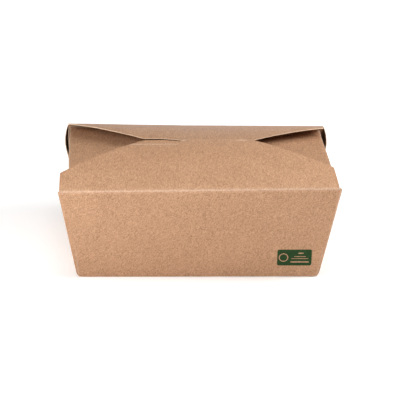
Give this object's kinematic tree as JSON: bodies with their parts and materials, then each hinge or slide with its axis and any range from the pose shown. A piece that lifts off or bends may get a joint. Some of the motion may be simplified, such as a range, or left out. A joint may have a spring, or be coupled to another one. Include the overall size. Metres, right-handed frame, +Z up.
{
  "type": "folded takeaway box",
  "caption": "Kraft board takeaway box folded from one sheet, with leaning walls, web corners and arched top flaps that hook together along a ridge.",
  "frame": {"origin": "middle of the base, on the table", "axes": "+X along the box to the right, +Y from the front wall to the back wall, +Z up"},
  "size_m": [0.1784, 0.1442, 0.0733],
  "materials": {
    "kraft_board": "matt natural kraft with fine darker fibres",
    "green_print": "matt dark green ink"
  },
  "bodies": {
    "box": {"carton": "kraft_board"},
    "lid": {"front_flap": "kraft_board"}
  },
  "joints": [
    {"name": "front_flap_crease", "type": "hinge", "parent": "box", "child": "lid", "pos_m": [0, -0.07175, 0.0615], "axis": [1, 0, 0], "range_deg": [0, 200]}
  ]
}
